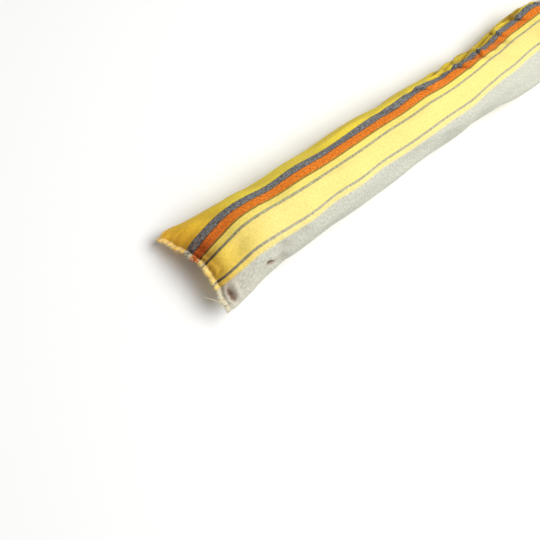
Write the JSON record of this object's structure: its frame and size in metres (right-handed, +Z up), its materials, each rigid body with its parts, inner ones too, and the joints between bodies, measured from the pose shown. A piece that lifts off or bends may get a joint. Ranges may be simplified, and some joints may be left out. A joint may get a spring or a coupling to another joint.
{
  "type": "draught excluder",
  "caption": "Long fibre-filled cloth tube in striped woven cotton, closed at each end by a flat overlocked seam with two ears, laid along the foot of a door to keep draughts out.",
  "frame": {"origin": "centre of the outline seen from above, on the floor", "axes": "+X along the tube, from the end that faces the viewer to the far end; +Z up; the long seam lies along the +Y side"},
  "size_m": [0.9, 0.122, 0.0872],
  "materials": {
    "striped_cotton": "matt plain-woven cotton with lengthwise stripes of yellow, slate, orange, grey and off-white"
  },
  "bodies": {
    "root": {"stuffed_tube": "striped_cotton"}
  },
  "joints": []
}
